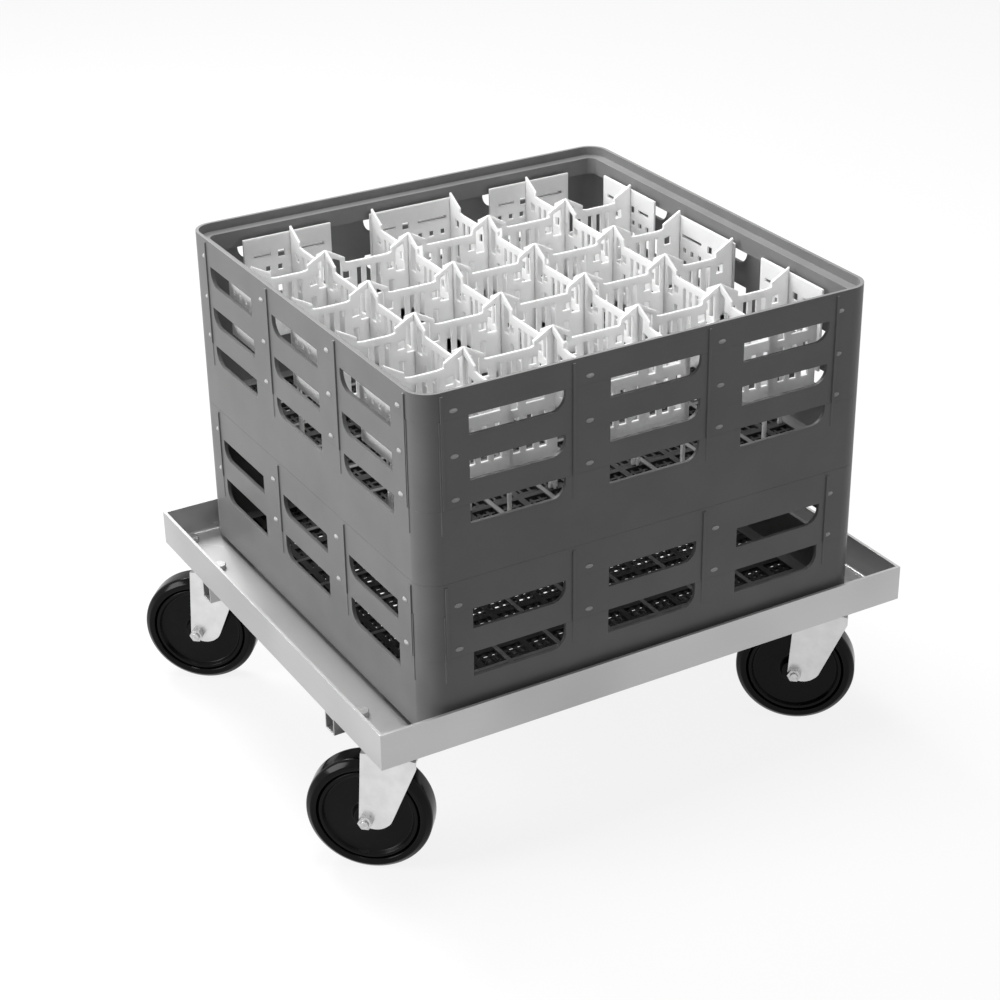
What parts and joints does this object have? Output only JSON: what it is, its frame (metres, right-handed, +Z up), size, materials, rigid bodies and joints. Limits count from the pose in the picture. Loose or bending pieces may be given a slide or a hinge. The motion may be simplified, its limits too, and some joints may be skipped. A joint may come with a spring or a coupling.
{
  "type": "glass rack dolly",
  "caption": "Open angle-steel dolly on swivel casters, carrying stacked square glass racks with a divided top rack.",
  "frame": {"origin": "bottom centre of the bounding box, on the floor plane under the wheels", "axes": "+Z up, +X along the long side of the tray, +Y along its short side; all four casters trail towards -X and +Y"},
  "size_m": [0.6421, 0.5364, 0.5215],
  "materials": {
    "frame_steel": "zinc-plated angle and tube, satin",
    "zinc_steel": "bright zinc plate",
    "fastener_steel": "zinc-plated hexagon fasteners",
    "wheel_plastic": "black moulded wheel centre",
    "tyre_rubber": "smooth glossy black tread",
    "rack_plastic": "mid-grey moulded polypropylene, satin",
    "divider_plastic": "white moulded divider strips",
    "tab_plastic": "pale snap tabs"
  },
  "bodies": {
    "dolly_frame": {"front_rail": "frame_steel", "rear_rail": "frame_steel", "left_rail": "frame_steel", "right_rail": "frame_steel", "corner_gussets": "frame_steel", "cross_braces": "frame_steel", "caster_top_plates": "zinc_steel", "plate_bolts": "fastener_steel", "plate_nuts": "fastener_steel", "kingpins": "zinc_steel", "swivel_races": "zinc_steel"},
    "swivel_front_left": {"front_left_fork": "zinc_steel", "front_left_axle_bolt": "fastener_steel", "front_left_axle_nut": "fastener_steel"},
    "wheel_front_left": {"front_left_wheel_core": "wheel_plastic", "front_left_tyre": "tyre_rubber"},
    "swivel_front_right": {"front_right_fork": "zinc_steel", "front_right_axle_bolt": "fastener_steel", "front_right_axle_nut": "fastener_steel"},
    "wheel_front_right": {"front_right_wheel_core": "wheel_plastic", "front_right_tyre": "tyre_rubber"},
    "swivel_rear_left": {"rear_left_fork": "zinc_steel", "rear_left_axle_bolt": "fastener_steel", "rear_left_axle_nut": "fastener_steel"},
    "wheel_rear_left": {"rear_left_wheel_core": "wheel_plastic", "rear_left_tyre": "tyre_rubber"},
    "swivel_rear_right": {"rear_right_fork": "zinc_steel", "rear_right_axle_bolt": "fastener_steel", "rear_right_axle_nut": "fastener_steel"},
    "wheel_rear_right": {"rear_right_wheel_core": "wheel_plastic", "rear_right_tyre": "tyre_rubber"},
    "lower_rack": {"lower_base": "rack_plastic", "lower_slot_frame": "rack_plastic", "lower_rim": "rack_plastic", "lower_snap_tabs": "tab_plastic"},
    "upper_rack": {"upper_base": "rack_plastic", "upper_slot_frame_low": "rack_plastic", "upper_slot_frame_high": "rack_plastic", "upper_rim": "rack_plastic", "upper_snap_tabs": "tab_plastic", "dividers_long": "divider_plastic", "dividers_cross": "divider_plastic", "divider_end_plates": "divider_plastic"}
  },
  "joints": [
    {"name": "front_left_swivel", "type": "hinge", "parent": "dolly_frame", "child": "swivel_front_left", "pos_m": [-0.24144, -0.21421, 0.141], "axis": [0, 0, 1], "continuous": true},
    {"name": "front_left_wheel_spin", "type": "hinge", "parent": "swivel_front_left", "child": "wheel_front_left", "pos_m": [-0.26596, -0.19365, 0.0635], "axis": [-0.6428, -0.766, 0], "continuous": true},
    {"name": "front_right_swivel", "type": "hinge", "parent": "dolly_frame", "child": "swivel_front_right", "pos_m": [0.27356, -0.21421, 0.141], "axis": [0, 0, 1], "continuous": true},
    {"name": "front_right_wheel_spin", "type": "hinge", "parent": "swivel_front_right", "child": "wheel_front_right", "pos_m": [0.24904, -0.19365, 0.0635], "axis": [-0.6428, -0.766, 0], "continuous": true},
    {"name": "rear_left_swivel", "type": "hinge", "parent": "dolly_frame", "child": "swivel_rear_left", "pos_m": [-0.24144, 0.19779, 0.141], "axis": [0, 0, 1], "continuous": true},
    {"name": "rear_left_wheel_spin", "type": "hinge", "parent": "swivel_rear_left", "child": "wheel_rear_left", "pos_m": [-0.26596, 0.21835, 0.0635], "axis": [-0.6428, -0.766, 0], "continuous": true},
    {"name": "rear_right_swivel", "type": "hinge", "parent": "dolly_frame", "child": "swivel_rear_right", "pos_m": [0.27356, 0.19779, 0.141], "axis": [0, 0, 1], "continuous": true},
    {"name": "rear_right_wheel_spin", "type": "hinge", "parent": "swivel_rear_right", "child": "wheel_rear_right", "pos_m": [0.24904, 0.21835, 0.0635], "axis": [-0.6428, -0.766, 0], "continuous": true},
    {"name": "lower_rack_lift", "type": "slide", "parent": "dolly_frame", "child": "lower_rack", "axis": [0, 0, 1], "range_m": [0, 0.08]},
    {"name": "upper_rack_lift", "type": "slide", "parent": "lower_rack", "child": "upper_rack", "axis": [0, 0, 1], "range_m": [0, 0.08]}
  ]
}
